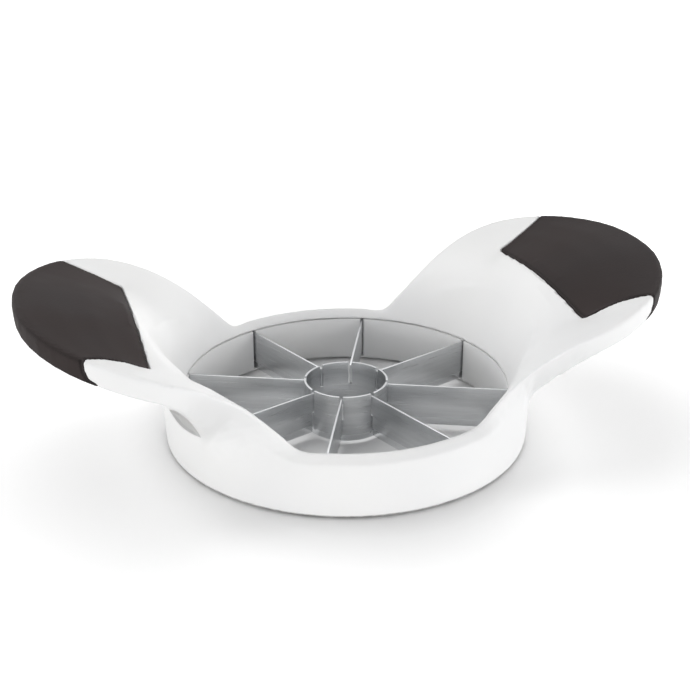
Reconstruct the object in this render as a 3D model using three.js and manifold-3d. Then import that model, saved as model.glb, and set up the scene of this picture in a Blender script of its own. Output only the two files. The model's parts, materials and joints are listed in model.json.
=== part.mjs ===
// Apple slicer and corer: a rigid ring with eight blades and two raised wing handles.
// Millimetres, +Z up. The origin is at the centre of the ring's base, the handles lie along X.
import * as THREE from 'three';
import { mergeVertices } from 'three/addons/utils/BufferGeometryUtils.js';
import Module from 'manifold-3d';

const wasm = await Module();
wasm.setup();

// Driving sizes of the ring
const RING_OUTER_RADIUS = 57.5;
const RING_WALL = 6.5;
const SKIRT_WALL = 2.4;
const SKIRT_EDGE_ROUND = 1;
const LIP_HEIGHT = 15.8;
const FRONT_RIM_INSET = 3.6;
const FRONT_RIM_HEIGHT = 18.7;
const WALL_SHOULDER_HEIGHT = 12.5;
const WALL_FOOT_HEIGHT = 9.5;

// Driving sizes of the wings
const WING_LENGTH = 41.8;
const WING_TUCK = 8.1;
const TIP_HEIGHT = 54.6;
const WING_EDGE_DEPTH = 6.9;
const WING_ROOT_HEIGHT = 15;
const WING_ROOT_FLARE = 0.6;
const RIM_ROUND = 1.9;
const EDGE_ROUND = 0.8;
const SIDE_BULGE = 1.4;

// Driving sizes of the relief slots under the corners of the wings, angles in degrees
const RELIEF_LENGTH = 14;
const RELIEF_WIDTH = 2.4;
const RELIEF_FLOOR_INSET = 0.4;
const RELIEF_REACH = 14;
const RELIEF_OFFSET = 3;
const RELIEF_HEIGHT = 21.2;
const RELIEF_PLACE_ANGLE = 23.4;
const RELIEF_ROLL_ANGLE = 45;
const RELIEF_FALL_ANGLE = 27.2;
const RELIEF_HEADING_ANGLE = 7.6;

// Driving sizes of the soft grips
const GRIP_EDGE_OFFSET = 7.8;
const GRIP_HALF_WIDTH = 32.4;
const GRIP_CORNER_ROUND = 1.2;
const GRIP_SKIN = 2.2;
const NOTCH_OFFSET = 25.5;
const NOTCH_HALF_WIDTH = 39.4;
const NOTCH_TOP = 51.2;
const NOTCH_BOTTOM = 44.4;
const NOTCH_LEAN = 3.6;
const NOTCH_ANGLE = 42.5;
const NOTCH_REACH = 6;
const NOTCH_INNER_REACH = 10.5;

// Driving sizes of the cutting set
const BLADE_COUNT = 8;
const BLADE_THICKNESS = 0.6;
const BLADE_EDGE_THICKNESS = 0.12;
const BLADE_TOP = 15.2;
const BLADE_BOTTOM = 1.6;
const BLADE_BEVEL = 2.6;
const BLADE_TAB = 2.2;
const CORER_OUTER_RADIUS = 13.4;
const CORER_WALL = 0.7;
const CORER_TOP = 16.2;
const CORER_BOTTOM = 0.8;
const CORER_BEVEL = 2.4;
const CORER_EDGE_THICKNESS = 0.15;
const CORER_SLOT_BOTTOM = 8.5;

// Driving sizes of the clamp ring that holds the outer ends of the blades
const CLAMP_BOTTOM = 0.4;
const CLAMP_ROUND = 0.6;

// Fits and fineness
const FIT = 0.3;
const OVERRUN = 4;
const SAMPLES_PER_STATION = 2;
const RING_SEGMENTS = 88;
const CORER_SEGMENTS = 64;

// Shares that place points between their neighbours
const SIDE_PLACE_SHARE = 0.45;
const SIDE_LIFT_SHARE = 0.6;
const CORNER_LIMIT_SHARE = 0.45;
const GRIP_FRONT_BOW_SHARES = [0.6, 0.21];

const ringInnerRadius = RING_OUTER_RADIUS - RING_WALL;
const reach = RING_OUTER_RADIUS + WING_LENGTH;
const wingHalfWidth = RING_OUTER_RADIUS - WING_TUCK;
const frontRimRadius = RING_OUTER_RADIUS - FRONT_RIM_INSET;
const rootRadius = RING_OUTER_RADIUS + WING_ROOT_FLARE;
const skirtInnerRadius = RING_OUTER_RADIUS - SKIRT_WALL;
const gripInnerEdge = RING_OUTER_RADIUS + GRIP_EDGE_OFFSET;
const notchX = RING_OUTER_RADIUS + NOTCH_OFFSET;
const clampOuterRadius = skirtInnerRadius - FIT;
const clampTop = LIP_HEIGHT - FIT;
const bladeOuterEnd = ringInnerRadius + BLADE_TAB;
const corerInnerRadius = CORER_OUTER_RADIUS - CORER_WALL;
const slotWidth = BLADE_THICKNESS + FIT * 2;

// One quarter of the frame, from the handle's tip (on +X) to the middle of the front (on -Y).
// ring and base are angles in degrees round the ring, of the bowl wall and of the skirt.
// rim and edge are the top rim and the lower edge, as shares of reach, wing half width and rise.
// top holds the four points between bowl wall and rim, as shares of the way out and of the height.
// under holds the two points of the underside, as shares of the way out and of the height.
const ON_THE_WALL = [[0.33, 0.33], [0.67, 0.67]];
const quarterShares = [
  { ring: 0, base: 0, rim: [1, 0, 1], bulge: 0.3,
    top: [[0.06, 0.2], [0.186, 0.57], [0.3, 0.765], [0.66, 0.95]], under: [[0.15, 0.55], [0.5, 0.86]] },
  { ring: 6, base: 4, rim: [0.987, 0.273, 0.994], bulge: 0.3,
    top: [[0.06, 0.2], [0.185, 0.568], [0.32, 0.77], [0.66, 0.945]], under: [[0.15, 0.54], [0.5, 0.85]] },
  { ring: 11.5, base: 8, rim: [0.945, 0.516, 0.969], bulge: 0.3,
    top: [[0.06, 0.2], [0.185, 0.563], [0.37, 0.772], [0.69, 0.933]], under: [[0.15, 0.52], [0.5, 0.83]] },
  { ring: 16.5, base: 12, rim: [0.876, 0.733, 0.931], bulge: 0.2,
    top: [[0.06, 0.2], [0.19, 0.565], [0.45, 0.766], [0.74, 0.917]], under: [[0.15, 0.51], [0.5, 0.79]] },
  { ring: 20.5, base: 15.5, rim: [0.806, 0.862, 0.889], bulge: 0.2,
    top: [[0.06, 0.198], [0.195, 0.552], [0.5, 0.744], [0.77, 0.893]], under: [[0.15, 0.5], [0.5, 0.74]] },
  { ring: 24, base: 18.5, rim: [0.725, 0.955, 0.833], bulge: 0.2,
    top: [[0.06, 0.194], [0.2, 0.552], [0.5, 0.764], [0.77, 0.904]], under: [[0.15, 0.49], [0.5, 0.72]] },
  { ring: 27, base: 21, rim: [0.65, 0.996, 0.764], edge: [0.65, 0.984, 0.575], bulge: 0.2,
    top: [[0.06, 0.194], [0.21, 0.562], [0.52, 0.796], [0.77, 0.913]], under: [[0.15, 0.46], [0.5, 0.7]] },
  { ring: 30, base: 23.3, rim: [0.584, 0.998, 0.694], edge: [0.597, 0.937, 0.465], bulge: 0.25,
    top: [[0.06, 0.193], [0.22, 0.577], [0.55, 0.825], [0.78, 0.92]], under: [[0.18, 0.42], [0.5, 0.66]] },
  { ring: 33, base: 25.5, rim: [0.529, 0.984, 0.622], edge: [0.564, 0.826, 0.304], bulge: 0.3,
    top: [[0.07, 0.194], [0.25, 0.597], [0.6, 0.847], [0.81, 0.927]], under: [[0.22, 0.36], [0.52, 0.6]] },
  { ring: 36.5, base: 28, rim: [0.478, 0.966, 0.531], edge: [0.536, 0.715, 0.109], bulge: 0.4,
    top: [[0.07, 0.177], [0.28, 0.595], [0.65, 0.879], [0.84, 0.949]], under: [[0.3, 0.34], [0.62, 0.62]] },
  { ring: 40.5, base: 31, rim: [0.428, 0.945, 0.422], flare: 1, shoulder: 1, bulge: 0.5,
    top: [[0.08, 0.142], [0.3, 0.557], [0.65, 0.892], [0.85, 0.977]], under: ON_THE_WALL },
  { ring: 46, base: 38.5, rim: [0.368, 0.927, 0.272], flare: 0.75, shoulder: 0.6, bulge: 0.6,
    top: [[0.1, 0.148], [0.33, 0.475], [0.66, 0.852], [0.85, 0.975]], under: ON_THE_WALL },
  { ring: 52.5, base: 47, rim: [0.312, 0.927, 0.117], flare: 0.4, shoulder: 0.3, bulge: 0.8,
    top: [[0.1, 0.15], [0.3, 0.424], [0.6, 0.788], [0.82, 0.955]], under: ON_THE_WALL },
  { ring: 60, base: 57, flare: 0.1, shoulder: 0.1, bulge: 1,
    top: [[0.08, 0.24], [0.28, 0.56], [0.58, 0.84], [0.8, 0.96]], under: ON_THE_WALL },
  { ring: 67.5, base: 67, flare: 0, shoulder: 0, bulge: 1,
    top: [[0.08, 0.24], [0.28, 0.56], [0.58, 0.84], [0.8, 0.96]], under: ON_THE_WALL },
  { ring: 78.5, base: 78.5, flare: 0, shoulder: 0, bulge: 1,
    top: [[0.08, 0.24], [0.28, 0.56], [0.58, 0.84], [0.8, 0.96]], under: ON_THE_WALL },
  { ring: 90, base: 90, flare: 0, shoulder: 0, bulge: 1,
    top: [[0.08, 0.24], [0.28, 0.56], [0.58, 0.84], [0.8, 0.96]], under: ON_THE_WALL },
];

// A point on a circle round the ring's axis, in the front right quarter
function ringPoint(radius, degrees, height) {
  const angle = THREE.MathUtils.degToRad(degrees);
  return new THREE.Vector3(radius * Math.cos(angle), -radius * Math.sin(angle), height);
}

// A point from shares of the reach, the wing's half width and the rise from front rim to tip
function wingPoint(shares) {
  const rise = TIP_HEIGHT - FRONT_RIM_HEIGHT;
  const height = FRONT_RIM_HEIGHT + rise * shares[2];
  return new THREE.Vector3(reach * shares[0], -wingHalfWidth * shares[1], height);
}

// A point part of the way from one point to another, with its own share of the height
function pointBetween(from, to, shares) {
  const point = new THREE.Vector3().lerpVectors(from, to, shares[0]);
  point.z = THREE.MathUtils.lerp(from.z, to.z, shares[1]);
  return point;
}

// The named points of one station of the quarter, from the bowl wall over the rim to the base.
// An inset sinks the wing's top, side and underside into it, for the core that the grip covers.
function stationPoints(row, inset) {
  const lip = ringPoint(ringInnerRadius, row.ring, LIP_HEIGHT);
  const rim = row.rim ? wingPoint(row.rim) : ringPoint(frontRimRadius, row.ring, FRONT_RIM_HEIGHT);
  const onWall = row.flare !== undefined;
  let edge = rim.clone();
  edge.z -= WING_EDGE_DEPTH;
  let root = ringPoint(rootRadius, row.base, WING_ROOT_HEIGHT);
  if (row.edge) {
    edge = wingPoint(row.edge);
  }
  if (onWall) {
    const wallRadius = RING_OUTER_RADIUS + WING_ROOT_FLARE * row.flare;
    const lift = WING_ROOT_HEIGHT - WALL_FOOT_HEIGHT;
    edge = ringPoint(wallRadius, row.base, WALL_SHOULDER_HEIGHT + lift * row.shoulder);
    root = ringPoint(wallRadius, row.base, WALL_FOOT_HEIGHT + lift * row.shoulder);
  }
  const inward = new THREE.Vector3(-rim.x, -rim.y, 0).normalize();
  const sink = row.edge || onWall ? 0 : inset;
  const tops = row.top.map((shares) => pointBetween(lip, rim, shares));
  const unders = row.under.map((shares) => pointBetween(root, edge, shares));
  [rim, edge].forEach((point) => point.addScaledVector(inward, sink));
  [rim, ...tops].forEach((point) => point.setZ(point.z - sink));
  [edge, ...unders].forEach((point) => point.setZ(point.z + sink));
  const side = new THREE.Vector3().lerpVectors(rim, edge, SIDE_PLACE_SHARE);
  const outward = new THREE.Vector3(side.x, side.y, 0).normalize();
  outward.z = SIDE_LIFT_SHARE;
  side.addScaledVector(outward, SIDE_BULGE * row.bulge);
  return {
    lip,
    tops,
    rim,
    side,
    edge,
    unders,
    root,
    foot: ringPoint(RING_OUTER_RADIUS, row.base, 0),
    heel: ringPoint(skirtInnerRadius, row.base, 0),
    pocket: ringPoint(skirtInnerRadius, row.base, LIP_HEIGHT),
  };
}

// The quarter's points mirrored into all four quarters, in order round the ring
function allRound(quarter) {
  const last = quarter.length - 1;
  const front = quarter.slice(0, last);
  const left = quarter.slice(1).reverse().map((point) => new THREE.Vector3(-point.x, point.y, point.z));
  const half = [...front, ...left];
  const back = half.map((point) => new THREE.Vector3(-point.x, -point.y, point.z));
  return [...half, ...back];
}

// A smooth closed curve through one named point of every station, sampled between the stations
function sampledRound(quarter) {
  const points = allRound(quarter);
  const curve = new THREE.CatmullRomCurve3(points, true, 'centripetal');
  const count = points.length * SAMPLES_PER_STATION;
  return Array.from({ length: count }, (unused, index) => curve.getPoint(index / count));
}

// Points of a rounded corner between two neighbours, at most half of the way to each
function roundedCorner(before, corner, after, radius, steps) {
  const cutTowards = (point) => {
    const share = radius / corner.distanceTo(point);
    return corner.clone().lerp(point, Math.min(CORNER_LIMIT_SHARE, share));
  };
  const start = cutTowards(before);
  const end = cutTowards(after);
  return new THREE.QuadraticBezierCurve3(start, corner, end).getPoints(steps);
}

// Points between the ends of a spline, without the ends
function innerPoints(controls, steps) {
  const points = new THREE.CatmullRomCurve3(controls, false, 'centripetal').getPoints(steps);
  return points.slice(1, steps);
}

// The closed outline of the frame's wall at one place round the ring
function wallSection(p) {
  const rim = roundedCorner(p.tops[3], p.rim, p.side, RIM_ROUND, 3);
  const edge = roundedCorner(p.side, p.edge, p.unders[1], EDGE_ROUND, 2);
  const foot = roundedCorner(p.root, p.foot, p.heel, SKIRT_EDGE_ROUND, 2);
  return [
    p.lip,
    ...innerPoints([p.lip, ...p.tops, rim[0]], 8),
    ...rim,
    p.side,
    ...edge,
    ...innerPoints([edge[2], p.unders[1], p.unders[0], p.root], 5),
    p.root,
    ...foot,
    p.heel,
    p.pocket,
  ];
}

// A closed surface through rows of points that join up round the ring and round the section
function closedSurface(rows) {
  const across = rows[0].length;
  const positions = rows.flatMap((row) => row.flatMap((point) => point.toArray()));
  const indices = [];
  rows.forEach((row, i) => {
    const next = (i + 1) % rows.length;
    row.forEach((point, j) => {
      const after = (j + 1) % across;
      const a = i * across + j;
      const b = i * across + after;
      const c = next * across + after;
      const d = next * across + j;
      indices.push(a, c, b, a, d, c);
    });
  });
  const geometry = new THREE.BufferGeometry();
  geometry.setAttribute('position', new THREE.Float32BufferAttribute(positions, 3));
  geometry.setIndex(indices);
  return geometry;
}

// A closed three.js geometry as a manifold solid
function solid(geometry) {
  const bare = geometry.clone();
  bare.deleteAttribute('normal');
  bare.deleteAttribute('uv');
  const merged = mergeVertices(bare);
  const vertProperties = new Float32Array(merged.attributes.position.array);
  const triVerts = new Uint32Array(merged.index.array);
  return new wasm.Manifold(new wasm.Mesh({ numProp: 3, vertProperties, triVerts }));
}

// A manifold solid back as a three.js geometry
function geometryOf(manifold) {
  const mesh = manifold.getMesh();
  const geometry = new THREE.BufferGeometry();
  geometry.setAttribute('position', new THREE.BufferAttribute(new Float32Array(mesh.vertProperties), 3));
  geometry.setIndex(new THREE.BufferAttribute(new Uint32Array(mesh.triVerts), 1));
  return geometry;
}

// A box placed by its centre
function block(sizeX, sizeY, sizeZ, x, y, z) {
  return new THREE.BoxGeometry(sizeX, sizeY, sizeZ).translate(x, y, z);
}

// A plan outline raised between two heights
function prism(shape, bottom, top) {
  const options = { depth: top - bottom, bevelEnabled: false, curveSegments: 6 };
  return new THREE.ExtrudeGeometry(shape, options).translate(0, 0, bottom);
}

// The outer form of frame and grips together, as one loft round the ring, or the core under the grips
function wingedRing(inset) {
  const stations = quarterShares.map((row) => stationPoints(row, inset));
  const named = (name) => sampledRound(stations.map((station) => station[name]));
  const numbered = (name, index) => sampledRound(stations.map((station) => station[name][index]));
  const tops = [0, 1, 2, 3].map((index) => numbered('tops', index));
  const unders = [0, 1].map((index) => numbered('unders', index));
  const lines = {};
  ['lip', 'rim', 'side', 'edge', 'root', 'foot', 'heel', 'pocket'].forEach((name) => {
    lines[name] = named(name);
  });
  const rows = lines.lip.map((unused, i) => wallSection({
    lip: lines.lip[i],
    tops: tops.map((line) => line[i]),
    rim: lines.rim[i],
    side: lines.side[i],
    edge: lines.edge[i],
    unders: unders.map((line) => line[i]),
    root: lines.root[i],
    foot: lines.foot[i],
    heel: lines.heel[i],
    pocket: lines.pocket[i],
  }));
  return closedSurface(rows);
}

// The plan outline of a grip, wider all round by a gap
function gripOutline(gap) {
  const inner = gripInnerEdge - gap;
  const corner = GRIP_HALF_WIDTH + gap;
  const notch = new THREE.Vector2(notchX, -NOTCH_HALF_WIDTH - gap);
  const bowX = THREE.MathUtils.lerp(inner, notch.x, GRIP_FRONT_BOW_SHARES[0]);
  const bowY = THREE.MathUtils.lerp(-corner, notch.y, GRIP_FRONT_BOW_SHARES[1]);
  const turn = THREE.MathUtils.degToRad(NOTCH_ANGLE);
  const out = new THREE.Vector2(Math.sin(turn), -Math.cos(turn)).multiplyScalar(NOTCH_REACH);
  const front = new THREE.Path();
  front.moveTo(inner, 0);
  front.lineTo(inner, -corner + GRIP_CORNER_ROUND);
  front.quadraticCurveTo(inner, -corner, inner + GRIP_CORNER_ROUND, -corner);
  front.quadraticCurveTo(bowX, bowY, notch.x, notch.y);
  front.lineTo(notch.x + out.x, notch.y + out.y);
  front.lineTo(reach + OVERRUN, -NOTCH_HALF_WIDTH - OVERRUN);
  const half = front.getPoints(8);
  const mirrored = half.slice(1).reverse().map((point) => new THREE.Vector2(point.x, -point.y));
  return new THREE.Shape([...half, ...mirrored]);
}

// The grip's lower corner, which runs under the end of the white side band in a hollow curve
// and on along the underside. It stands at the front notch, or with a side of -1 at the back one.
function notchWedge(gap, side) {
  const shape = new THREE.Shape();
  shape.moveTo(OVERRUN, NOTCH_TOP);
  shape.lineTo(-gap, NOTCH_TOP);
  shape.quadraticCurveTo(-gap, NOTCH_BOTTOM + gap, -NOTCH_LEAN - gap, NOTCH_BOTTOM + gap);
  shape.lineTo(-NOTCH_LEAN - gap, NOTCH_BOTTOM - NOTCH_REACH);
  shape.lineTo(OVERRUN, NOTCH_BOTTOM - NOTCH_REACH);
  const depth = NOTCH_REACH + NOTCH_INNER_REACH;
  const geometry = new THREE.ExtrudeGeometry(shape, { depth, bevelEnabled: false, curveSegments: 6 });
  geometry.translate(0, 0, side > 0 ? -NOTCH_INNER_REACH : -NOTCH_REACH);
  geometry.rotateX(Math.PI / 2);
  geometry.rotateZ(THREE.MathUtils.degToRad(NOTCH_ANGLE * side));
  return geometry.translate(notchX, -NOTCH_HALF_WIDTH * side, 0);
}

// All the space in which the right grip replaces the frame, wider all round by a gap
function gripZone(gap) {
  const outline = solid(prism(gripOutline(gap), WING_ROOT_HEIGHT, TIP_HEIGHT + OVERRUN));
  return outline.add(solid(notchWedge(gap, 1))).add(solid(notchWedge(gap, -1)));
}

// The same solid for the left wing
function turnedToLeft(manifold) {
  return solid(geometryOf(manifold).rotateZ(Math.PI));
}

// A lens-shaped slot where the right wing's underside meets the ring, down to a round floor.
// It stands at the wing's front corner, or with a side of -1 at the back one.
function reliefSlot(side) {
  const half = RELIEF_LENGTH / 2;
  const lens = new THREE.Shape();
  lens.moveTo(-half, 0);
  lens.quadraticCurveTo(0, -RELIEF_WIDTH, half, 0);
  lens.quadraticCurveTo(0, RELIEF_WIDTH, -half, 0);
  const depth = RELIEF_REACH * 2;
  const bar = new THREE.ExtrudeGeometry(lens, { depth, bevelEnabled: false, curveSegments: 5 });
  const roll = THREE.MathUtils.degToRad(RELIEF_ROLL_ANGLE) * side;
  const fall = THREE.MathUtils.degToRad(RELIEF_FALL_ANGLE);
  const heading = THREE.MathUtils.degToRad(RELIEF_HEADING_ANGLE) * side;
  const place = ringPoint(rootRadius + RELIEF_OFFSET, RELIEF_PLACE_ANGLE, RELIEF_HEIGHT);
  bar.translate(0, 0, -RELIEF_REACH);
  bar.rotateZ(-roll);
  bar.rotateX(-(Math.PI / 2 + fall) * side);
  bar.rotateZ(heading);
  bar.translate(place.x, place.y * side, place.z);
  const floorRadius = RING_OUTER_RADIUS - RELIEF_FLOOR_INSET;
  const floor = new THREE.CylinderGeometry(floorRadius, floorRadius, TIP_HEIGHT * 2, RING_SEGMENTS);
  return solid(bar).subtract(solid(floor.rotateX(Math.PI / 2)));
}

// The white frame: winged ring, cut back where the soft grips lie, with a core under each grip
function frameSolid(envelope) {
  const grooves = gripZone(FIT).subtract(solid(wingedRing(GRIP_SKIN + FIT)));
  const cuts = grooves.add(reliefSlot(1)).add(reliefSlot(-1));
  return envelope.subtract(cuts).subtract(turnedToLeft(cuts));
}

// A soft grip: a thick skin over the end of the right wing
function gripSolid(envelope) {
  return envelope.intersect(gripZone(0)).subtract(solid(wingedRing(GRIP_SKIN)));
}

// The ring inside the skirt, with a slot for the outer end of each blade
function clampRingSolid() {
  const profile = [
    new THREE.Vector2(ringInnerRadius, clampTop),
    new THREE.Vector2(ringInnerRadius, CLAMP_BOTTOM + CLAMP_ROUND),
    new THREE.Vector2(ringInnerRadius + CLAMP_ROUND, CLAMP_BOTTOM),
    new THREE.Vector2(clampOuterRadius - CLAMP_ROUND, CLAMP_BOTTOM),
    new THREE.Vector2(clampOuterRadius, CLAMP_BOTTOM + CLAMP_ROUND),
    new THREE.Vector2(clampOuterRadius, clampTop),
    new THREE.Vector2(ringInnerRadius, clampTop),
  ];
  const ring = solid(new THREE.LatheGeometry(profile, RING_SEGMENTS).rotateX(Math.PI / 2));
  const slotEnd = bladeOuterEnd + FIT;
  const slotStart = ringInnerRadius - OVERRUN;
  const slotBottom = BLADE_BOTTOM - FIT;
  const slotTop = clampTop + OVERRUN;
  return cutByBlades(ring, slotStart, slotEnd, slotBottom, slotTop);
}

// A ring with a radial slot cut at the place of each blade
function cutByBlades(ring, start, end, bottom, top) {
  const slot = block(end - start, slotWidth, top - bottom, (start + end) / 2, 0, (bottom + top) / 2);
  let result = ring;
  bladeAngles().forEach((degrees) => {
    result = result.subtract(solid(slot.clone().rotateZ(THREE.MathUtils.degToRad(degrees))));
  });
  return result;
}

// The directions of the blades, none of them along the handles
function bladeAngles() {
  const step = 360 / BLADE_COUNT;
  return Array.from({ length: BLADE_COUNT }, (unused, index) => step * (index + 0.5));
}

// The coring tube: thin steel, sharpened at the bottom, slotted from the top for the blades
function corerSolid() {
  const profile = [
    new THREE.Vector2(corerInnerRadius, CORER_TOP),
    new THREE.Vector2(corerInnerRadius, CORER_BOTTOM),
    new THREE.Vector2(corerInnerRadius + CORER_EDGE_THICKNESS, CORER_BOTTOM),
    new THREE.Vector2(CORER_OUTER_RADIUS, CORER_BOTTOM + CORER_BEVEL),
    new THREE.Vector2(CORER_OUTER_RADIUS, CORER_TOP),
    new THREE.Vector2(corerInnerRadius, CORER_TOP),
  ];
  const tube = solid(new THREE.LatheGeometry(profile, CORER_SEGMENTS).rotateX(Math.PI / 2));
  const start = corerInnerRadius - OVERRUN;
  const end = CORER_OUTER_RADIUS + OVERRUN;
  return cutByBlades(tube, start, end, CORER_SLOT_BOTTOM, CORER_TOP + OVERRUN);
}

// One blade along +X: bevelled to its cutting edge below, with a hook that enters the tube's slot
function bladeSolid() {
  const half = BLADE_THICKNESS / 2;
  const edge = BLADE_EDGE_THICKNESS / 2;
  const section = new THREE.Shape();
  section.moveTo(-half, BLADE_TOP);
  section.lineTo(-half, BLADE_BOTTOM + BLADE_BEVEL);
  section.lineTo(-edge, BLADE_BOTTOM);
  section.lineTo(edge, BLADE_BOTTOM);
  section.lineTo(half, BLADE_BOTTOM + BLADE_BEVEL);
  section.lineTo(half, BLADE_TOP);
  const length = bladeOuterEnd - corerInnerRadius;
  const bar = new THREE.ExtrudeGeometry(section, { depth: length, bevelEnabled: false });
  bar.rotateX(Math.PI / 2);
  bar.rotateZ(Math.PI / 2);
  bar.translate(corerInnerRadius, 0, 0);
  const hookBottom = CORER_SLOT_BOTTOM + FIT;
  const clearance = CORER_WALL + FIT + OVERRUN;
  const clearX = corerInnerRadius - OVERRUN + clearance / 2;
  const below = block(clearance, OVERRUN, hookBottom, clearX, 0, hookBottom / 2);
  return solid(bar).subtract(solid(below));
}

const whitePlastic = new THREE.MeshStandardMaterial({ color: 0xe9e8e6, roughness: 0.35, metalness: 0 });
const clampPlastic = new THREE.MeshStandardMaterial({ color: 0xe4e3e1, roughness: 0.45, metalness: 0 });
const softGrip = new THREE.MeshStandardMaterial({ color: 0x39353a, roughness: 0.75, metalness: 0 });
const steel = new THREE.MeshStandardMaterial({ color: 0xb9bbbd, roughness: 0.28, metalness: 1 });

const slicer = new THREE.Group();

function addPiece(name, manifold, material) {
  const mesh = new THREE.Mesh(geometryOf(manifold), material);
  mesh.name = name;
  slicer.add(mesh);
  return mesh;
}

const envelope = solid(wingedRing(0));
addPiece('frame', frameSolid(envelope), whitePlastic);
addPiece('grip_right', gripSolid(envelope), softGrip);
addPiece('grip_left', gripSolid(envelope), softGrip).rotateZ(Math.PI);
addPiece('blade_clamp_ring', clampRingSolid(), clampPlastic);
addPiece('corer_tube', corerSolid(), steel);
bladeAngles().forEach((degrees, index) => {
  const blade = addPiece(`blade_${index + 1}`, bladeSolid(), steel);
  blade.rotateZ(THREE.MathUtils.degToRad(degrees));
});

export default slicer;
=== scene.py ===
import json
from math import radians

import bpy
from mathutils import Matrix, Vector

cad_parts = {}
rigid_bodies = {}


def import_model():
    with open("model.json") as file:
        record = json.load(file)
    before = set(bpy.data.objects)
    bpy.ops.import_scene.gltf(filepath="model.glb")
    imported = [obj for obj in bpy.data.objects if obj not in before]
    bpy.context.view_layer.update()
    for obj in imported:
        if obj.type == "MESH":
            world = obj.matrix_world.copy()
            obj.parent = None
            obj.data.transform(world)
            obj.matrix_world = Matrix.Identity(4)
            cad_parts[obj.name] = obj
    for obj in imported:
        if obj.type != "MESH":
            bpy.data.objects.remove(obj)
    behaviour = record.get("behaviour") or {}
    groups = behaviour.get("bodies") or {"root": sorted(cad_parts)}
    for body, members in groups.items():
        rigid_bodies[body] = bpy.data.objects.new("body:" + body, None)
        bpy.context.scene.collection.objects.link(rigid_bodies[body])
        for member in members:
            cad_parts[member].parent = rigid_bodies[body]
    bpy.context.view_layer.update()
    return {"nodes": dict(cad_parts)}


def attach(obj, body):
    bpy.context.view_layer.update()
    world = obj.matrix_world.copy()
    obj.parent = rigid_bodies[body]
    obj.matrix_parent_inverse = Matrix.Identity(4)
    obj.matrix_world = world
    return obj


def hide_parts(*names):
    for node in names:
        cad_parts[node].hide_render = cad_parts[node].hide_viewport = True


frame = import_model()


# Camera. It looks down on the slicer from the front and a little from the left,
# as close as a table-top product photograph is taken, with the left wing coming forward.
CAMERA_TARGET = (0.0026, 0.0101, 0.0234)
CAMERA_DISTANCE = 0.3971
CAMERA_TURN = -16.10
CAMERA_HEIGHT_ANGLE = 23.94
CAMERA_LENS = 63.93
CAMERA_NEAREST = 0.01

bpy.ops.object.camera_add(rotation=(radians(90 - CAMERA_HEIGHT_ANGLE), 0, radians(CAMERA_TURN)))
camera = bpy.context.object
camera.name = "camera"
camera.data.lens = CAMERA_LENS
camera.data.clip_start = CAMERA_NEAREST
camera_reach = camera.rotation_euler.to_matrix() @ Vector((0, 0, CAMERA_DISTANCE))
camera.location = Vector(CAMERA_TARGET) + camera_reach
bpy.context.scene.camera = camera
bpy.context.scene.view_settings.view_transform = "Standard"
bpy.context.scene.cycles.use_denoising = True


# Studio. A tent of pale air lights the slicer from low down all round, a little less from behind.
# Two softboxes hang over and behind it and throw the soft shadow in front, a third fills the right.
AIR_LOW_STRENGTH = 2.67
AIR_LOW_HEIGHTS = (0.15, 0.65)
AIR_BEHIND_SHARE = 0.82
SOFTBOX_SIZE = 0.8
SOFTBOX_AIM = (0, 0, 0.02)
SOFTBOXES = {
    "softbox_behind": dict(place=(0.27, 0.38, 1.05), power=1.7),
    "softbox_behind_left": dict(place=(-0.30, 0.33, 1.0), power=3.8),
    "softbox_right": dict(place=(1.1, -0.4, 0.55), power=2.2),
}


def parts_of(tree, vector):
    """The X, Y and Z of a vector, each a socket."""
    parts = tree.nodes.new("ShaderNodeSeparateXYZ")
    tree.links.new(vector, parts.inputs[0])
    return parts.outputs


def ranged(tree, value, start, end, low=0.0, high=1.0):
    """A value taken from one range to another, smoothly, and held at its ends."""
    fade = tree.nodes.new("ShaderNodeMapRange")
    fade.interpolation_type = "SMOOTHSTEP"
    fade.inputs["From Min"].default_value = start
    fade.inputs["From Max"].default_value = end
    fade.inputs["To Min"].default_value = low
    fade.inputs["To Max"].default_value = high
    tree.links.new(value, fade.inputs["Value"])
    return fade.outputs["Result"]


def calculated(tree, operation, first, second=0):
    """The result of a sum on two values, each a socket or a plain number."""
    step = tree.nodes.new("ShaderNodeMath")
    step.operation = operation
    for socket, value in zip(step.inputs, (first, second)):
        if isinstance(value, (int, float)):
            socket.default_value = value
        else:
            tree.links.new(value, socket)
    return step.outputs[0]


def seen_ray(tree):
    """1 for the camera's rays and for what glossy or clear surfaces see, 0 for light itself."""
    rays = tree.nodes.new("ShaderNodeLightPath")
    seen = calculated(tree, "MAXIMUM", rays.outputs["Is Camera Ray"], rays.outputs["Is Glossy Ray"])
    return calculated(tree, "MAXIMUM", seen, rays.outputs["Is Transmission Ray"])


studio_air = bpy.data.worlds.new("studio_air")
bpy.context.scene.world = studio_air
studio_air.use_nodes = True
air_tree = studio_air.node_tree
air = air_tree.nodes["Background"]
air.inputs["Color"].default_value = (1, 1, 1, 1)
air_way = parts_of(air_tree, air_tree.nodes.new("ShaderNodeTexCoord").outputs["Generated"])
air_low = ranged(air_tree, air_way["Z"], *AIR_LOW_HEIGHTS, AIR_LOW_STRENGTH, 0)
air_behind = ranged(air_tree, air_way["Y"], 0, 1, 1, AIR_BEHIND_SHARE)
air_light = calculated(air_tree, "MULTIPLY", air_low, air_behind)

# Where it is seen, the air is plain white.
air_seen = air_tree.nodes.new("ShaderNodeMix")
air_tree.links.new(seen_ray(air_tree), air_seen.inputs["Factor"])
air_tree.links.new(air_light, air_seen.inputs["A"])
air_seen.inputs["B"].default_value = 1
air_tree.links.new(air_seen.outputs["Result"], air.inputs["Strength"])

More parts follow.
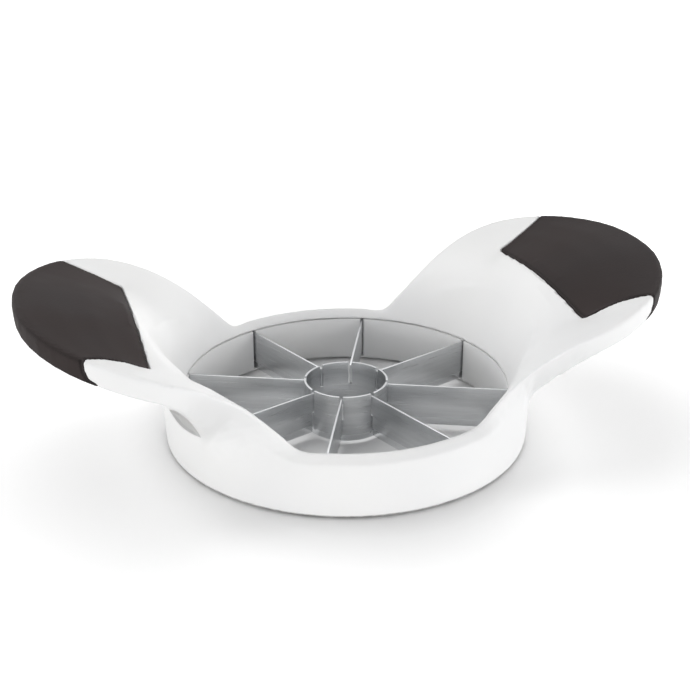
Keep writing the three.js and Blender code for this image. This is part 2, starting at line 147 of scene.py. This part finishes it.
for name, box in SOFTBOXES.items():
    bpy.ops.object.light_add(type="AREA", location=box["place"])
    lamp = bpy.context.object
    lamp.name = name
    lamp.data.shape = "SQUARE"
    lamp.data.size = SOFTBOX_SIZE
    lamp.data.energy = box["power"]
    lamp.rotation_euler = (Vector(SOFTBOX_AIM) - lamp.location).to_track_quat("-Z", "Y").to_euler()


# Floor, of white seamless paper. Where it is seen, it glows with painted light that fades up from
# the ring outwards and reaches in closer at the sides, so that the shadow under the wings is
# painted lighter and the far paper is as white as a cut-out ground, while the shadow at the ring
# stays.
FLOOR_SIZE = 6
FLOOR_SINK = 0.0002
PAPER_COLOUR = (0.93, 0.93, 0.93, 1)
PAPER_ROUGHNESS = 0.9
PAPER_GLOSS = 0.2
PAPER_NEAR_GLOW = 0.31
PAPER_NEAR_GLOW_REACH = (0.058, 0.092)
PAPER_FAR_WHITE = 0.71
PAPER_FAR_REACH = (0.10, 0.45)
PAPER_GLOW_STRETCH = (1.25, 1, 1)


def of_vectors(tree, operation, *vectors):
    """The vector, or for LENGTH and DOT_PRODUCT the number, that one or two vectors give."""
    step = tree.nodes.new("ShaderNodeVectorMath")
    step.operation = operation
    for socket, vector in zip(step.inputs, vectors):
        if isinstance(vector, tuple):
            socket.default_value = vector
        else:
            tree.links.new(vector, socket)
    return step.outputs["Value" if operation in ("LENGTH", "DOT_PRODUCT") else "Vector"]


bpy.ops.mesh.primitive_plane_add(size=FLOOR_SIZE, location=(0, 0, -FLOOR_SINK))
floor = bpy.context.object
floor.name = "seamless_paper"
paper = bpy.data.materials.new("seamless_paper")
paper.use_nodes = True
paper_tree = paper.node_tree
paper_shader = paper_tree.nodes["Principled BSDF"]
paper_shader.inputs["Base Color"].default_value = PAPER_COLOUR
paper_shader.inputs["Roughness"].default_value = PAPER_ROUGHNESS
paper_shader.inputs["Specular IOR Level"].default_value = PAPER_GLOSS
paper_shader.inputs["Emission Color"].default_value = (1, 1, 1, 1)
paper_place = paper_tree.nodes.new("ShaderNodeTexCoord")
paper_stretch = paper_tree.nodes.new("ShaderNodeMapping")
paper_stretch.inputs["Scale"].default_value = PAPER_GLOW_STRETCH
paper_tree.links.new(paper_place.outputs["Object"], paper_stretch.inputs["Vector"])
paper_distance = of_vectors(paper_tree, "LENGTH", paper_stretch.outputs[0])
# Painted light: the paper's own glow where it is seen, which lightens the object's shadow round the
# ring.
paper_near = ranged(paper_tree, paper_distance, *PAPER_NEAR_GLOW_REACH, 0, PAPER_NEAR_GLOW)
paper_far = ranged(paper_tree, paper_distance, *PAPER_FAR_REACH, 0, PAPER_FAR_WHITE)
paper_glow = calculated(paper_tree, "ADD", paper_near, paper_far)
paper_glow = calculated(paper_tree, "MULTIPLY", seen_ray(paper_tree), paper_glow)
paper_tree.links.new(paper_glow, paper_shader.inputs["Emission Strength"])
floor.data.materials.append(paper)


# White frame, of rigid satin plastic: the skirt, the bowl's lip and both wings in one moulding.
# It comes from a two-part tool with a finely textured skin, and its foot has a painted contact
# shadow.
MERGE_DISTANCE = 1e-6
FRAME_MESH_SIZE = 0.00062
FRAME_EVENING = 90
FRAME_SOFTENING = 5
SMOOTHING_STEP = 0.5
EDGE_ANGLE = radians(14)
EDGE_MARGIN = 2
MESH_KEPT_SHARE = 0.52
CREASE_ANGLE = radians(45)
FRAME_WHITE = (0.86, 0.86, 0.855, 1)
FRAME_SHADE = (0.83, 0.832, 0.835, 1)
FRAME_SKIN = dict(
    cloud_scale=16, grain_scale=2600, grain_depth=0.000012, roughness=(0.30, 0.42))
FRAME_GLOSS = 0.45
FOOT_PAINTED_SHADE = (0.16, 0.157, 0.153, 1)
FOOT_SHADE_HEIGHTS = (0.0003, 0.0012)
FOOT_STREAK_SCALE = 420
FOOT_STREAK_DETAIL = 3
FOOT_STREAK_LEVELS = (0.35, 0.6)
FOOT_STREAK_LEAST = 0.7
SKIN_CLOUD_DETAIL = 3
SKIN_CLOUD_LEVELS = (0.32, 0.68)
SKIN_GRAIN_DETAIL = 2


def merged_copy(node):
    """A copy of a solid with its loose facets joined, made the active object on its own."""
    solid = frame["nodes"][node]
    piece = solid.copy()
    piece.data = solid.data.copy()
    piece.name = node + "_finished"
    bpy.context.collection.objects.link(piece)
    bpy.ops.object.select_all(action="DESELECT")
    piece.select_set(True)
    bpy.context.view_layer.objects.active = piece
    bpy.ops.object.mode_set(mode="EDIT")
    bpy.ops.mesh.select_all(action="SELECT")
    bpy.ops.mesh.remove_doubles(threshold=MERGE_DISTANCE)
    bpy.ops.object.mode_set(mode="OBJECT")
    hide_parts(node)
    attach(piece, "root")
    return piece


def smoothed(piece, times, group=""):
    """Evens out a piece's mesh, all over or only in a vertex group."""
    bpy.ops.object.modifier_add(type="SMOOTH")
    piece.modifiers[-1].factor = SMOOTHING_STEP
    piece.modifiers[-1].iterations = times
    piece.modifiers[-1].vertex_group = group
    bpy.ops.object.modifier_apply(modifier=piece.modifiers[-1].name)


def moulded_copy(node, mesh_size, evening, softening):
    """A copy with an even fine mesh, its broad faces evened out and then its edges rolled."""
    piece = merged_copy(node)
    piece.data.remesh_voxel_size = mesh_size
    bpy.ops.object.voxel_remesh()
    bpy.ops.object.mode_set(mode="EDIT")
    bpy.ops.mesh.select_mode(type="VERT")
    bpy.ops.mesh.select_all(action="DESELECT")
    bpy.ops.mesh.edges_select_sharp(sharpness=EDGE_ANGLE)
    for _ in range(EDGE_MARGIN):
        bpy.ops.mesh.select_more()
    bpy.ops.mesh.select_all(action="INVERT")
    bpy.ops.object.vertex_group_add()
    bpy.ops.object.vertex_group_assign()
    bpy.ops.object.mode_set(mode="OBJECT")
    smoothed(piece, evening, piece.vertex_groups.active.name)
    smoothed(piece, softening)
    bpy.ops.object.vertex_group_remove(all=True)
    bpy.ops.object.modifier_add(type="DECIMATE")
    piece.modifiers[-1].ratio = MESH_KEPT_SHARE
    bpy.ops.object.modifier_apply(modifier=piece.modifiers[-1].name)
    bpy.ops.object.shade_smooth_by_angle(angle=CREASE_ANGLE)
    return piece


def dress(piece, material):
    """Gives a piece its one material."""
    piece.data.materials.clear()
    piece.data.materials.append(material)


def effect_group(name, inputs, outputs):
    """A shader node group with named sockets, and its two end nodes."""
    group = bpy.data.node_groups.new(name, "ShaderNodeTree")
    for way, sockets in (("INPUT", inputs), ("OUTPUT", outputs)):
        for socket, kind in sockets.items():
            group.interface.new_socket(socket, in_out=way, socket_type=kind)
    return group, group.nodes.new("NodeGroupInput"), group.nodes.new("NodeGroupOutput")


def effect_in(tree, group):
    """A node group set to work in a material's tree."""
    effect = tree.nodes.new("ShaderNodeGroup")
    effect.node_tree = group
    return effect


def noise_of(tree, place, scale, detail):
    """A noise on a place, at a scale that a socket or a number gives."""
    noise = tree.nodes.new("ShaderNodeTexNoise")
    noise.inputs["Detail"].default_value = detail
    tree.links.new(place, noise.inputs["Vector"])
    if isinstance(scale, (int, float)):
        noise.inputs["Scale"].default_value = scale
    else:
        tree.links.new(scale, noise.inputs["Scale"])
    return noise.outputs["Fac"]


def blended(tree, factor, first, second):
    """A colour between two, each a socket or a plain colour."""
    mix = tree.nodes.new("ShaderNodeMix")
    mix.data_type = "RGBA"
    tree.links.new(factor, mix.inputs["Factor"])
    for side, colour in (("A", first), ("B", second)):
        socket = next(s for s in mix.inputs if s.name == side and s.type == "RGBA")
        if isinstance(colour, tuple):
            socket.default_value = colour
        else:
            tree.links.new(colour, socket)
    return next(s for s in mix.outputs if s.type == "RGBA")


# The skin of a moulding: broad faint clouds where the melt flowed and hands have polished it,
# and the fine even grain that the tool's etched face leaves.
skin, skin_in, skin_out = effect_group(
    "moulded_skin",
    {"Colour": "NodeSocketColor", "Shade": "NodeSocketColor",
     "Cloud Scale": "NodeSocketFloat", "Grain Scale": "NodeSocketFloat"},
    {"Colour": "NodeSocketColor", "Cloud": "NodeSocketFloat", "Grain": "NodeSocketFloat"})
skin_place = skin.nodes.new("ShaderNodeTexCoord").outputs["Object"]
skin_cloud = noise_of(skin, skin_place, skin_in.outputs["Cloud Scale"], SKIN_CLOUD_DETAIL)
skin_cloud = ranged(skin, skin_cloud, *SKIN_CLOUD_LEVELS)
skin_grain = noise_of(skin, skin_place, skin_in.outputs["Grain Scale"], SKIN_GRAIN_DETAIL)
skin_colour = blended(skin, skin_cloud, skin_in.outputs["Colour"], skin_in.outputs["Shade"])
skin.links.new(skin_colour, skin_out.inputs["Colour"])
skin.links.new(skin_cloud, skin_out.inputs["Cloud"])
skin.links.new(skin_grain, skin_out.inputs["Grain"])


def moulded_material(name, colour, shade, cloud_scale, grain_scale, grain_depth, roughness):
    """A moulded plastic or rubber, with its shader and the node that gives its skin."""
    material = bpy.data.materials.new(name)
    material.use_nodes = True
    tree = material.node_tree
    shader = tree.nodes["Principled BSDF"]
    surface = effect_in(tree, skin)
    surface.inputs["Colour"].default_value = colour
    surface.inputs["Shade"].default_value = shade
    surface.inputs["Cloud Scale"].default_value = cloud_scale
    surface.inputs["Grain Scale"].default_value = grain_scale
    tree.links.new(surface.outputs["Colour"], shader.inputs["Base Color"])
    polish = ranged(tree, surface.outputs["Cloud"], 0, 1, *roughness)
    tree.links.new(polish, shader.inputs["Roughness"])
    bump = tree.nodes.new("ShaderNodeBump")
    bump.inputs["Distance"].default_value = grain_depth
    tree.links.new(surface.outputs["Grain"], bump.inputs["Height"])
    tree.links.new(bump.outputs["Normal"], shader.inputs["Normal"])
    return material, shader, surface


white_plastic, white_shader, white_skin = moulded_material(
    "white_satin_plastic", FRAME_WHITE, FRAME_SHADE, **FRAME_SKIN)
white_tree = white_plastic.node_tree
white_shader.inputs["Specular IOR Level"].default_value = FRAME_GLOSS

# The foot's last millimetre is painted dark grey, a painted contact shadow, in uneven streaks.
foot_place = white_tree.nodes.new("ShaderNodeTexCoord").outputs["Object"]
foot_height = parts_of(white_tree, foot_place)["Z"]
foot_band = ranged(white_tree, foot_height, *FOOT_SHADE_HEIGHTS, 1, 0)
foot_streaks = noise_of(white_tree, foot_place, FOOT_STREAK_SCALE, FOOT_STREAK_DETAIL)
foot_streaks = ranged(white_tree, foot_streaks, *FOOT_STREAK_LEVELS, FOOT_STREAK_LEAST, 1)
foot_painted_shade = calculated(white_tree, "MULTIPLY", foot_band, foot_streaks)
white_base = blended(white_tree, foot_painted_shade, white_skin.outputs["Colour"], FOOT_PAINTED_SHADE)

white_frame = moulded_copy("frame", FRAME_MESH_SIZE, FRAME_EVENING, FRAME_SOFTENING)
dress(white_frame, white_plastic)


# Relief slots, four shallow lens-shaped hollows under the wings' corners, where the tool's slides
# drew out. The frame's fine mesh is evened and split there and pressed in along each lens,
# and its plastic takes a sharper rim and a floor painted dark grey in the same lens, as painted
# shade.
RELIEF_LENGTH = 0.0142
RELIEF_WIDTH = 0.0028
RELIEF_REACH = 0.017
RELIEF_REACH_POWER = 4
RELIEF_MARGIN = (0.0095, 0.0034)
RELIEF_EVENING = 80
RELIEF_PLACE = (0.05608, 0.02427, 0.0212)
RELIEF_ROLL = radians(45)
RELIEF_FALL = radians(27.2)
RELIEF_HEADING = radians(7.6)
RELIEF_LEAST_RADIUS = 0.0545
RELIEF_FULL_RADIUS = 0.0578
RELIEF_LEAST_HEIGHT = 0.0125
RELIEF_RIM = 0.00012
RELIEF_SLOPE = 0.0007
RELIEF_DEPTH = 0.0005
RELIEF_RIM_STEP = 0.0002
RELIEF_PAINTED_SHADE = (0.47, 0.47, 0.465, 1)
LEVEL_PARTS = (1, 1, 0)

relief_turn = Matrix.Rotation(-RELIEF_HEADING, 4, "Z")
relief_turn @= Matrix.Rotation(radians(90) + RELIEF_FALL, 4, "X")
relief_turn @= Matrix.Rotation(RELIEF_ROLL, 4, "Z")
relief_view = (Matrix.Translation(RELIEF_PLACE) @ relief_turn).inverted()


def eased(share):
    """A share held between 0 and 1, with a soft start and end as the material's fades have."""
    share = min(max(share, 0), 1)
    return share * share * (3 - 2 * share)


def slot_places():
    """The points of the frame's outer wall: index, place as the slot's lens lies, width there."""
    wall_depth = RELIEF_FULL_RADIUS - RELIEF_LEAST_RADIUS
    for point in white_frame.data.vertices:
        past_wall = point.co.xy.length - RELIEF_LEAST_RADIUS
        if past_wall > 0 and point.co.z > RELIEF_LEAST_HEIGHT:
            place = relief_view @ Vector((abs(point.co.x), abs(point.co.y), point.co.z))
            yield point.index, place, RELIEF_WIDTH * eased(past_wall / wall_depth)


slot_margin = white_frame.vertex_groups.new(name="slot_margin")
for index, place, _ in slot_places():
    if all(abs(part) < limit for part, limit in zip(place, (*RELIEF_MARGIN, RELIEF_REACH))):
        slot_margin.add([index], 1, "REPLACE")
bpy.context.view_layer.objects.active = white_frame
smoothed(white_frame, RELIEF_EVENING, slot_margin.name)
bpy.ops.object.mode_set(mode="EDIT")
bpy.ops.mesh.select_all(action="DESELECT")
bpy.ops.object.vertex_group_select()
bpy.ops.mesh.subdivide(number_cuts=1)
bpy.ops.object.mode_set(mode="OBJECT")
bpy.ops.object.vertex_group_remove(all=True)
slot_hollow = white_frame.vertex_groups.new(name="slot_hollow")
for index, (x, y, z), width in slot_places():
    bow = 1 - (2 * x / RELIEF_LENGTH) ** 2 - (z / RELIEF_REACH) ** RELIEF_REACH_POWER
    slot_hollow.add([index], eased((width / 2 * bow - abs(y)) / RELIEF_SLOPE), "REPLACE")
bpy.ops.object.modifier_add(type="DISPLACE")
white_frame.modifiers[-1].strength = -RELIEF_DEPTH
white_frame.modifiers[-1].mid_level = 0
white_frame.modifiers[-1].vertex_group = slot_hollow.name
bpy.ops.object.modifier_apply(modifier=white_frame.modifiers[-1].name)
bpy.ops.object.vertex_group_remove(all=True)
bpy.ops.object.shade_smooth_by_angle(angle=CREASE_ANGLE)

all_slots = of_vectors(white_tree, "ABSOLUTE", foot_place)
slot_place = white_tree.nodes.new("ShaderNodeMapping")
slot_place.vector_type = "TEXTURE"
slot_place.inputs["Location"].default_value = RELIEF_PLACE
slot_place.inputs["Rotation"].default_value = relief_turn.to_euler("XYZ")
white_tree.links.new(all_slots, slot_place.inputs["Vector"])
slot_parts = parts_of(white_tree, slot_place.outputs[0])
ring_place = of_vectors(white_tree, "MULTIPLY", foot_place, LEVEL_PARTS)
ring_radius = of_vectors(white_tree, "LENGTH", ring_place)
slot_width = ranged(
    white_tree, ring_radius, RELIEF_LEAST_RADIUS, RELIEF_FULL_RADIUS, 0, RELIEF_WIDTH)
slot_share = calculated(white_tree, "DIVIDE", slot_parts["X"], RELIEF_LENGTH / 2)
slot_share = calculated(white_tree, "POWER", slot_share, 2)
slot_fade = calculated(white_tree, "DIVIDE", slot_parts["Z"], RELIEF_REACH)
slot_fade = calculated(white_tree, "POWER", slot_fade, RELIEF_REACH_POWER)
slot_bow = calculated(white_tree, "SUBTRACT", 1, slot_share)
slot_bow = calculated(white_tree, "SUBTRACT", slot_bow, slot_fade)
slot_bow = calculated(white_tree, "MULTIPLY", slot_bow, 0.5)
slot_bow = calculated(white_tree, "MULTIPLY", slot_bow, slot_width)
slot_across = calculated(white_tree, "ABSOLUTE", slot_parts["Y"])
slot_inside = calculated(white_tree, "SUBTRACT", slot_bow, slot_across)
slot_mask = ranged(white_tree, slot_inside, -RELIEF_RIM, RELIEF_RIM)
on_wall = calculated(white_tree, "GREATER_THAN", ring_radius, RELIEF_LEAST_RADIUS)
slot_mask = calculated(white_tree, "MULTIPLY", slot_mask, on_wall)
above_skirt = calculated(white_tree, "GREATER_THAN", foot_height, RELIEF_LEAST_HEIGHT)
slot_mask = calculated(white_tree, "MULTIPLY", slot_mask, above_skirt)
# Painted shade: the lens floor is painted dark grey, as if in the shadow of the wing.
white_base = blended(white_tree, slot_mask, white_base, RELIEF_PAINTED_SHADE)
white_tree.links.new(white_base, white_shader.inputs["Base Color"])
slot_step = white_tree.nodes.new("ShaderNodeBump")
slot_step.invert = True
slot_step.inputs["Distance"].default_value = RELIEF_RIM_STEP
white_tree.links.new(slot_mask, slot_step.inputs["Height"])
grain_bump = white_shader.inputs["Normal"].links[0].from_node
white_tree.links.new(slot_step.outputs["Normal"], grain_bump.inputs["Normal"])


# Soft grips, of dark rubber moulded over the ends of the wings.
# Each is a thick matt skin with a fine grain, with painted shade along its seams and edges
# and a painted highlight on its outer rim.
GRIP_DARK = (0.027, 0.0215, 0.0215, 1)
GRIP_PALE = (0.040, 0.032, 0.031, 1)
GRIP_EDGE_PAINTED_SHADE = (0.006, 0.005, 0.005, 1)
GRIP_RIM_PAINTED_HIGHLIGHT = (0.060, 0.052, 0.052, 1)
GRIP_EDGE_REACH = 0.0020
GRIP_EDGE_SAMPLES = 6
GRIP_EDGE_TURNS = (0.955, 0.9995)
GRIP_RIM_LEANS = (0.02, 0.10)
GRIP_SKIN = dict(cloud_scale=26, grain_scale=1500, grain_depth=0.00004, roughness=(0.60, 0.74))
GRIP_GLOSS = 0.10
GRIP_MESH_SIZE = 0.00045
GRIP_EVENING = 130
GRIP_SOFTENING = 6

# How near a point is to an edge, from 0 on open faces to 1 at the edge itself, and whether that
# edge is an outer one, which turns away from the slicer's axis.
edges, edges_in, edges_out = effect_group(
    "edge_nearness", {"Reach": "NodeSocketFloat"},
    {"Near": "NodeSocketFloat", "Outer": "NodeSocketFloat"})
edge_bevel = edges.nodes.new("ShaderNodeBevel")
edge_bevel.samples = GRIP_EDGE_SAMPLES
edges.links.new(edges_in.outputs["Reach"], edge_bevel.inputs["Radius"])
edge_round = edge_bevel.outputs["Normal"]
edge_flat = edges.nodes.new("ShaderNodeNewGeometry").outputs["Normal"]
edge_turn = of_vectors(edges, "DOT_PRODUCT", edge_round, edge_flat)
edge_near = ranged(edges, edge_turn, *GRIP_EDGE_TURNS, 1, 0)
edges.links.new(edge_near, edges_out.inputs["Near"])
edge_place = edges.nodes.new("ShaderNodeTexCoord").outputs["Object"]
edge_outwards = of_vectors(edges, "MULTIPLY", edge_place, LEVEL_PARTS)
edge_outwards = of_vectors(edges, "NORMALIZE", edge_outwards)
edge_lean = of_vectors(edges, "SUBTRACT", edge_round, edge_flat)
edge_lean = of_vectors(edges, "DOT_PRODUCT", edge_lean, edge_outwards)
edge_outer = ranged(edges, edge_lean, *GRIP_RIM_LEANS)
edges.links.new(edge_outer, edges_out.inputs["Outer"])

soft_rubber, rubber_shader, rubber_skin = moulded_material(
    "soft_grip_rubber", GRIP_DARK, GRIP_PALE, **GRIP_SKIN)
rubber_shader.inputs["Specular IOR Level"].default_value = GRIP_GLOSS
rubber_tree = soft_rubber.node_tree
rubber_edge = effect_in(rubber_tree, edges)
rubber_edge.inputs["Reach"].default_value = GRIP_EDGE_REACH
# Painted shade near the grip's seams and edges, and a painted highlight where an edge is an outer
# rim.
rubber_painted_edge_light = blended(rubber_tree, rubber_edge.outputs["Outer"], GRIP_EDGE_PAINTED_SHADE, GRIP_RIM_PAINTED_HIGHLIGHT)
rubber_base = rubber_skin.outputs["Colour"]
rubber_base = blended(rubber_tree, rubber_edge.outputs["Near"], rubber_base, rubber_painted_edge_light)
rubber_tree.links.new(rubber_base, rubber_shader.inputs["Base Color"])
for node in ("grip_left", "grip_right"):
    grip = moulded_copy(node, GRIP_MESH_SIZE, GRIP_EVENING, GRIP_SOFTENING)
    dress(grip, soft_rubber)


# Clamp ring, of a duller white plastic, pressed into the skirt from below.
# Its slots hold the outer ends of the blades.
CLAMP_WHITE = (0.80, 0.80, 0.79, 1)
CLAMP_SHADE = (0.76, 0.762, 0.765, 1)
CLAMP_SKIN = dict(cloud_scale=22, grain_scale=1800, grain_depth=0.00002, roughness=(0.42, 0.52))
CLAMP_EDGE_WIDTH = 0.00012
EDGE_SEGMENTS = 2
SMOOTH_ANGLE = radians(32)
FLAT_ANGLE = radians(0.5)


def finished_copy(node, edge_width):
    """A merged copy of a solid with its flats whole again and its edges a little broken."""
    piece = merged_copy(node)
    bpy.ops.object.mode_set(mode="EDIT")
    bpy.ops.mesh.dissolve_limited(angle_limit=FLAT_ANGLE)
    bpy.ops.object.mode_set(mode="OBJECT")
    bpy.ops.object.modifier_add(type="BEVEL")
    piece.modifiers[-1].width = edge_width
    piece.modifiers[-1].segments = EDGE_SEGMENTS
    piece.modifiers[-1].limit_method = "ANGLE"
    piece.modifiers[-1].angle_limit = SMOOTH_ANGLE
    bpy.ops.object.modifier_apply(modifier=piece.modifiers[-1].name)
    bpy.ops.object.shade_smooth_by_angle(angle=SMOOTH_ANGLE)
    return piece


clamp_plastic, _, _ = moulded_material(
    "dull_white_plastic", CLAMP_WHITE, CLAMP_SHADE, **CLAMP_SKIN)
dress(finished_copy("blade_clamp_ring", CLAMP_EDGE_WIDTH), clamp_plastic)


# Coring tube, rolled and welded from stainless strip and brushed round its axis.
# Its lower end is ground to a sharp edge, and slots from the top take the blades.
TUBE_STEEL = (0.62, 0.63, 0.64, 1)
TUBE_STEEL_DARK = (0.56, 0.57, 0.58, 1)
TUBE_EDGE_WIDTH = 0.00004
TUBE_GROUND_HEIGHT = (0.0030, 0.0033)
STEEL_GROUND = (0.74, 0.75, 0.76, 1)
STEEL_ROUGHNESS = (0.27, 0.34)
STEEL_GROUND_POLISH = -0.08
STEEL_LINE_DEPTH = 0.000004
STEEL_LINE_SCALES = dict(Along=90, Across=5200)
STEEL_LINE_DETAIL = 3
STEEL_LINE_LEVELS = (0.3, 0.7)
STEEL_TONE_SCALES = dict(Along=30, Across=700)
STEEL_TONE_DETAIL = 2
STEEL_TONE_LEVELS = (0.3, 0.7)

# Where a point lies round the slicer's axis: how far round, how far out and how high.
polar, _, polar_out = effect_group(
    "place_round_axis", {},
    {"Round": "NodeSocketFloat", "Out": "NodeSocketFloat", "Up": "NodeSocketFloat"})
polar_place = polar.nodes.new("ShaderNodeTexCoord").outputs["Object"]
polar_parts = parts_of(polar, polar_place)
polar_turn = calculated(polar, "ARCTAN2", polar_parts["Y"], polar_parts["X"])
polar_x = calculated(polar, "POWER", polar_parts["X"], 2)
polar_y = calculated(polar, "POWER", polar_parts["Y"], 2)
polar_reach = calculated(polar, "SQRT", calculated(polar, "ADD", polar_x, polar_y))
polar_round = calculated(polar, "MULTIPLY", polar_turn, polar_reach)
polar.links.new(polar_round, polar_out.inputs["Round"])
polar.links.new(polar_reach, polar_out.inputs["Out"])
polar.links.new(polar_parts["Z"], polar_out.inputs["Up"])

# The fine lines that a brushing belt leaves: long along its travel, a fraction of a millimetre
# apart, and the broader tone under them.
brushing, brushing_in, brushing_out = effect_group(
    "brushed_lines", {"Along": "NodeSocketFloat", "Across": "NodeSocketFloat"},
    {"Line": "NodeSocketFloat", "Tone": "NodeSocketFloat"})


def line_noise(scales, detail):
    """A noise on the two ways over the steel, each stretched to its own scale."""
    place = brushing.nodes.new("ShaderNodeCombineXYZ")
    for way, axis in (("Along", "X"), ("Across", "Y")):
        stretched = calculated(brushing, "MULTIPLY", brushing_in.outputs[way], scales[way])
        brushing.links.new(stretched, place.inputs[axis])
    return noise_of(brushing, place.outputs[0], 1.0, detail)


brushing_line = line_noise(STEEL_LINE_SCALES, STEEL_LINE_DETAIL)
brushing_tone = line_noise(STEEL_TONE_SCALES, STEEL_TONE_DETAIL)
brushing_tone = ranged(brushing, brushing_tone, *STEEL_TONE_LEVELS)
brushing.links.new(brushing_line, brushing_out.inputs["Line"])
brushing.links.new(brushing_tone, brushing_out.inputs["Tone"])


def steel_material(name, bright, dark, line_direction, ground_height):
    """Brushed stainless steel with its lines one way, and a brighter ground band at its edge."""
    material = bpy.data.materials.new(name)
    material.use_nodes = True
    tree = material.node_tree
    shader = tree.nodes["Principled BSDF"]
    shader.inputs["Metallic"].default_value = 1
    place = effect_in(tree, polar)
    lines = effect_in(tree, brushing)
    tree.links.new(place.outputs[line_direction], lines.inputs["Along"])
    tree.links.new(place.outputs["Up"], lines.inputs["Across"])
    grinding = effect_in(tree, brushing)
    tree.links.new(place.outputs["Up"], grinding.inputs["Along"])
    tree.links.new(place.outputs[line_direction], grinding.inputs["Across"])
    ground = ranged(tree, place.outputs["Up"], *ground_height, 1, 0)
    rolled = blended(tree, lines.outputs["Tone"], dark, bright)
    tree.links.new(blended(tree, ground, rolled, STEEL_GROUND), shader.inputs["Base Color"])
    dull = ranged(tree, lines.outputs["Line"], *STEEL_LINE_LEVELS, *STEEL_ROUGHNESS)
    polish = calculated(tree, "MULTIPLY", ground, STEEL_GROUND_POLISH)
    tree.links.new(calculated(tree, "ADD", dull, polish), shader.inputs["Roughness"])
    height = tree.nodes.new("ShaderNodeMix")
    tree.links.new(ground, height.inputs["Factor"])
    tree.links.new(lines.outputs["Line"], height.inputs["A"])
    tree.links.new(grinding.outputs["Line"], height.inputs["B"])
    bump = tree.nodes.new("ShaderNodeBump")
    bump.inputs["Distance"].default_value = STEEL_LINE_DEPTH
    tree.links.new(height.outputs["Result"], bump.inputs["Height"])
    tree.links.new(bump.outputs["Normal"], shader.inputs["Normal"])
    return material


tube_steel = steel_material(
    "brushed_tube_steel", TUBE_STEEL, TUBE_STEEL_DARK, "Round", TUBE_GROUND_HEIGHT)
dress(finished_copy("corer_tube", TUBE_EDGE_WIDTH), tube_steel)


# Blades, eight of thin stainless strip, rolled and brushed along their length.
# Each is ground to an edge below, hooks into the tube and ends in the clamp ring's slots.
BLADE_STEEL = (0.66, 0.67, 0.68, 1)
BLADE_STEEL_DARK = (0.61, 0.62, 0.63, 1)
BLADE_EDGE_WIDTH = 0.00005
BLADE_GROUND_HEIGHT = (0.0040, 0.0043)
BLADE_COUNT = 8

blade_steel = steel_material(
    "brushed_blade_steel", BLADE_STEEL, BLADE_STEEL_DARK, "Out", BLADE_GROUND_HEIGHT)
for number in range(1, BLADE_COUNT + 1):
    dress(finished_copy(f"blade_{number}", BLADE_EDGE_WIDTH), blade_steel)
